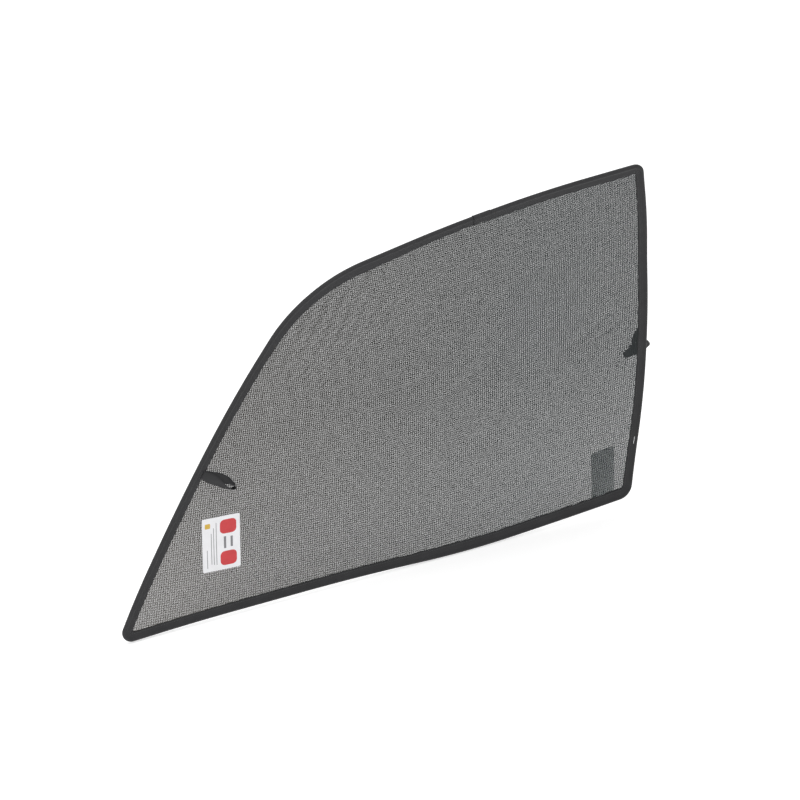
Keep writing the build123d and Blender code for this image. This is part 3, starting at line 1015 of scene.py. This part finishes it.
LABEL_INKS = [
    ("label_panel_0", (9.5, 22.5, 22, 20, 6.0), RED_INK),
    ("label_panel_1", (9.5, -22.5, 22, 20, 6.0), RED_INK),
    ("label_rule_0", (14.0, 0, 3.0, 15.0, 0.5), GREY_INK),
    ("label_rule_1", (5.0, 0, 3.0, 17.0, 0.5), GREY_INK),
    ("label_line_0", (-6.5, 0, 0.8, 60, 0.3), GREY_INK),
    ("label_line_1", (-10.0, -3, 0.8, 52, 0.3), GREY_INK),
    ("label_line_2", (-13.2, -6, 0.8, 44, 0.3), GREY_INK),
    ("label_line_3", (-19.0, -20, 0.8, 26, 0.3), GREY_INK),
    ("label_patch", (-18.0, 27.0, 7.0, 7.0, 1.2), AMBER_INK),
]


def make_label():
    low, high = LABEL_LIFT - 0.2, LABEL_LIFT
    film = label_sheet("label_film", bar(0, 0, LABEL_WIDTH, LABEL_HEIGHT, 2.0), low, high, [FILM])
    inks = [label_sheet(name, bar(*shape), high - 0.02, high + 0.03, [ink])
            for name, shape, ink in LABEL_INKS]
    return [film, *inks]


# ---- the staple

STAPLE_CENTRE = (360.0, 96.8)
STAPLE_ANGLE = 79.0
STAPLE_REACH = 5.15
STAPLE_WIRE = 0.38
# Half of the staple, from the middle of its crown: how far short of its end, and its lift.
STAPLE_HALF = [(0.45, 1.62), (0, 1.0), (0, -1.1), (0.6, -1.66), (3.2, -1.62)]


def make_staple():
    plane = cabin_plane(*STAPLE_CENTRE, STAPLE_ANGLE)
    path = [(-STAPLE_REACH + short, lift) for short, lift in reversed(STAPLE_HALF)]
    path += [(0, 1.68)] + [(STAPLE_REACH - short, lift) for short, lift in STAPLE_HALF]
    track = smooth_track(path, 4)
    rings, along = [], [0.0]
    for k, (u, lift) in enumerate(track):
        before, after = track[max(0, k - 1)], track[min(len(track) - 1, k + 1)]
        ahead = Vector((after[0] - before[0], 0, after[1] - before[1])).normalized()
        side = Vector((0, 1, 0))
        rise = ahead.cross(side)
        ring = []
        for j in range(8):
            a = 2 * math.pi * j / 8
            spot = Vector((u, 0, lift)) + side * (STAPLE_WIRE * math.cos(a))
            spot += rise * (STAPLE_WIRE * 0.8 * math.sin(a))
            ring.append(on_plane(plane, *spot))
        rings.append(ring)
        if k:
            along.append(along[-1] + (rings[k][0] - rings[k - 1][0]).length / MM)
    staple = Builder()
    staple.loft(rings, along, perimeter_marks(rings[0]))
    return staple.make("staple_wire", [BRIGHT_STEEL], 60.0)


def fix(piece, body, slot, *nodes):
    """The piece rides on a body and stands for CAD nodes, which it hides. The slot argument is not
    used.
    """
    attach(piece, body)
    if nodes:
        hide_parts(*nodes)
    return piece


def outline_area(inset):
    """Area inside the outline moved inwards by inset, in square millimetres."""
    path = edge_path(inset)
    return abs(sum(a.x * b.y - b.x * a.y for a, b in zip(path, path[1:] + path[:1]))) / 2


cloth = fix(make_cloth(), "shade", "mesh", "mesh_panel")
fix(make_tape(), "shade", "tape", "binding_bead", "binding_sides")
fix(make_lap(), "shade", "tape", "binding_lap")
fix(make_seam("cabin_stitches", 1), "shade", "thread", "cabin_seam_thread")
fix(make_seam("outer_stitches", -1), "shade", "thread", "outer_seam_thread")
fix(make_tack(), "shade", "thread", "pull_loop_tack")
fix(make_foot_stitches(), "shade", "thread", "sill_tongue_stitches")
fix(make_loop(), "pull_loop", "ribbon", "pull_loop")
fix(make_staple(), "shade", "staple_steel", "tape_staple")
fix(make_tongue(), "sill_tongue", "tongue_plastic", "sill_tongue")
latch_plate, latch_stop = make_latch_base()
fix(latch_plate, "shade", "latch_plastic", "latch_base")
fix(latch_stop, "shade", "latch_plastic")
latch_arm, latch_grips = make_lever()
fix(latch_arm, "latch_lever", "latch_plastic", "latch_lever")
fix(latch_grips, "latch_lever", "latch_plastic")
label_pieces = make_label()
fix(label_pieces[0], "shade", "label", "printed_label")
for piece in label_pieces[1:]:
    fix(piece, "shade", "label")

KEPT_NODES = {
    "frame_wire": WIRE_STEEL, "wire_ferrule": WIRE_STEEL, "latch_rivet": BLACK_STEEL,
    "sill_tongue_foot": TONGUE_PLASTIC,
}
for name, material in KEPT_NODES.items():
    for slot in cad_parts[name].material_slots:
        slot.material = material

outline_area(HEM_INSET) * MM * MM


# ---- stage, light and camera

FLOOR_EMISSION = 0.48
WORLD_STRENGTH = 0.58
FLOOR_REACH = 30.0
FLOOR_GAP = 0.0005


def stage_floor():
    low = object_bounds()[0]
    material, tree, shader = node_material("studio_floor")
    grain = noise(tree, object_coordinates(tree), 3.0, 2.0, 0.5)
    tree.links.new(remap(tree, grain, 0.3, 0.7, 0.55, 0.65), shader.inputs["Roughness"])
    shader.inputs["Base Color"].default_value = (0.9, 0.9, 0.9, 1)
    shader.inputs["Emission Color"].default_value = (1, 1, 1, 1)
    shader.inputs["Emission Strength"].default_value = FLOOR_EMISSION
    mesh = bpy.data.meshes.new("studio_floor")
    height = low[2] - FLOOR_GAP
    corners = [(-FLOOR_REACH, -FLOOR_REACH, height), (FLOOR_REACH, -FLOOR_REACH, height),
               (FLOOR_REACH, FLOOR_REACH, height), (-FLOOR_REACH, FLOOR_REACH, height)]
    mesh.from_pydata(corners, [], [(0, 1, 2, 3)])
    mesh.materials.append(material)
    floor = bpy.data.objects.new("studio_floor", mesh)
    bpy.context.scene.collection.objects.link(floor)


def soft_light(name, position, target, size, power):
    lamp = bpy.data.lights.new(name, "AREA")
    lamp.shape = "SQUARE"
    lamp.size = size
    lamp.energy = power
    made = bpy.data.objects.new(name, lamp)
    made.location = position
    made.rotation_euler = (Vector(target) - Vector(position)).to_track_quat("-Z", "Y").to_euler()
    bpy.context.scene.collection.objects.link(made)


stage_floor()
soft_light("overhead", (-0.7, 0.2, 2.6), (0.05, 0, 0.25), 1.6, 34.0)
soft_light("front_fill", (-1.8, -2.4, 1.5), (0, 0, 0.25), 2.0, 12.0)

world = bpy.data.worlds.new("studio")
world.use_nodes = True
world.node_tree.nodes["Background"].inputs["Color"].default_value = (1, 1, 1, 1)
world.node_tree.nodes["Background"].inputs["Strength"].default_value = WORLD_STRENGTH
bpy.context.scene.world = world
bpy.context.scene.view_settings.view_transform = "Standard"

CAMERA_TARGET = Vector((0.017, 0.02178, 0.2455))
CAMERA_AZIMUTH = -25.0
CAMERA_ELEVATION = 32.0
CAMERA_DISTANCE = 3.036
azimuth, elevation = math.radians(CAMERA_AZIMUTH), math.radians(CAMERA_ELEVATION)
back = Vector((math.sin(azimuth) * math.cos(elevation), -math.cos(azimuth) * math.cos(elevation),
               math.sin(elevation)))
camera_data = bpy.data.cameras.new("camera")
camera_data.lens = 108.0
camera_data.sensor_width = 36.0
camera = bpy.data.objects.new("camera", camera_data)
camera.location = CAMERA_TARGET + back * CAMERA_DISTANCE
camera.rotation_euler = back.to_track_quat("Z", "Y").to_euler()
bpy.context.scene.collection.objects.link(camera)
bpy.context.scene.camera = camera
